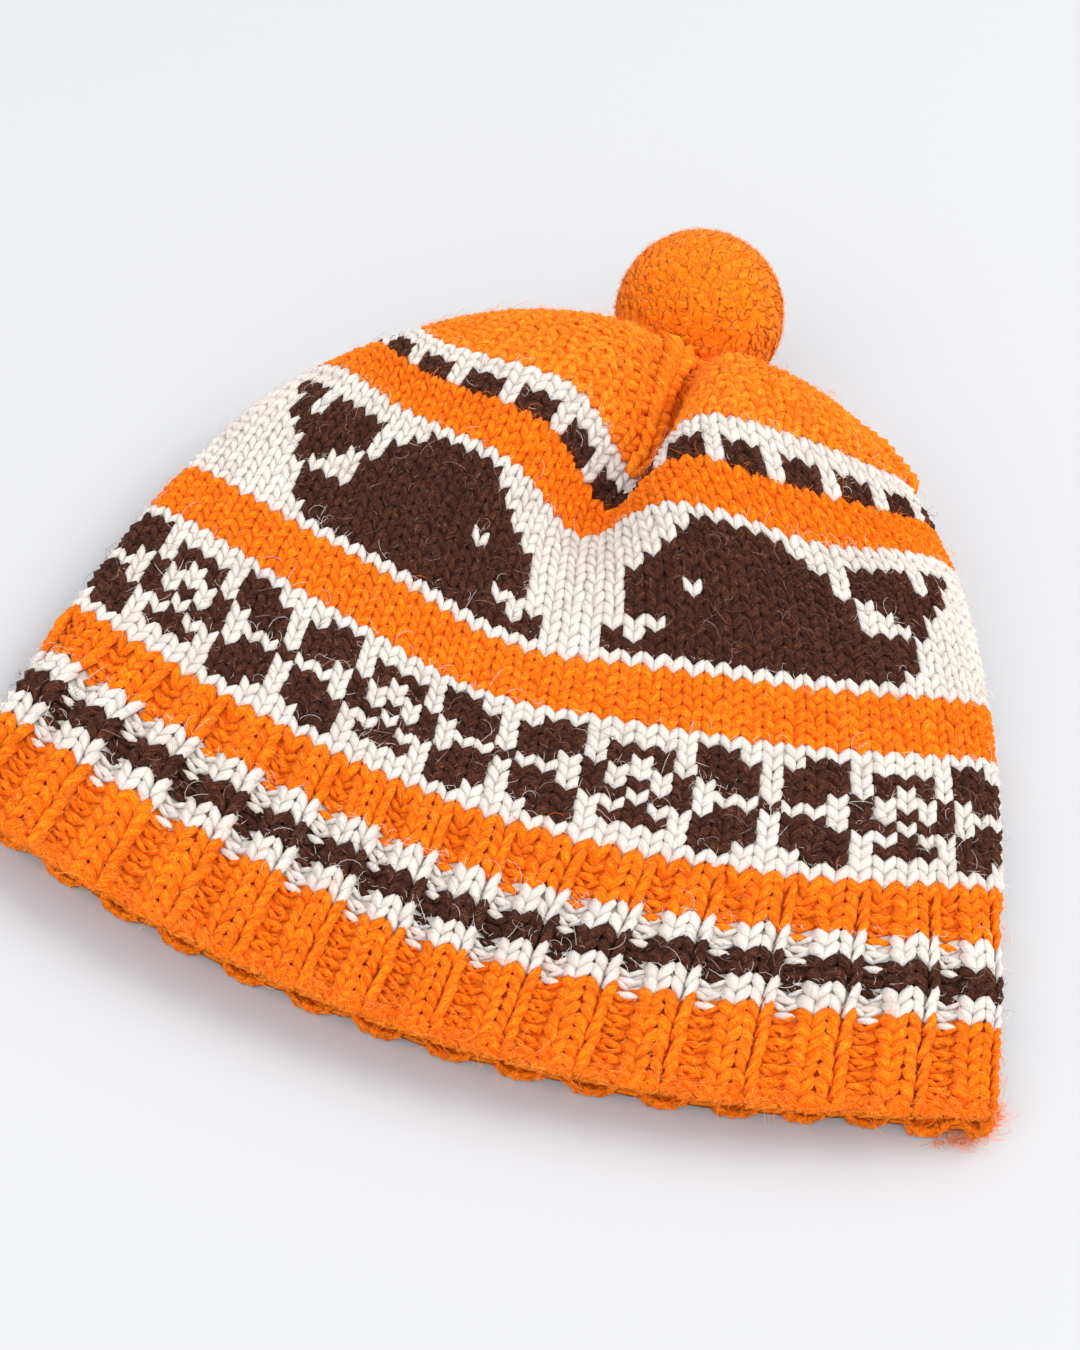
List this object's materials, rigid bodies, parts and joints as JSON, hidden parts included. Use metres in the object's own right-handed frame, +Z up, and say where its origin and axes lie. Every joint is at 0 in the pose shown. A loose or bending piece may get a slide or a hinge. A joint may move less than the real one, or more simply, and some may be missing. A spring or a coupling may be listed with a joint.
{
  "type": "knit cap",
  "caption": "Knitted wool winter cap with a ribbed brim, patterned bands, a gathered crown and a pompom, lying empty on its side",
  "frame": {"origin": "middle of the underside of the bounding box, on the surface that the cap lies on", "axes": "+Z up; the cap lies flat on its side with the open hem toward -Y and the crown and pompom toward +Y; +X to the right when looking along +Y"},
  "size_m": [0.2376, 0.2806, 0.0523],
  "materials": {
    "orange_wool": "bright orange knitted wool with white and brown stripes, fuzzy and matt",
    "patterned_wool": "white and dark brown stranded wool knitting, fuzzy and matt",
    "brown_wool": "dark brown and white stranded wool knitting, fuzzy and matt",
    "crown_wool": "bright orange knitted wool, fuzzy and matt",
    "pompom_wool": "cut orange wool yarn, soft and matt"
  },
  "bodies": {
    "root": {"ribbed_brim": "orange_wool", "flower_band": "patterned_wool", "whale_band": "brown_wool", "crown": "crown_wool", "pompom": "pompom_wool"}
  },
  "joints": []
}
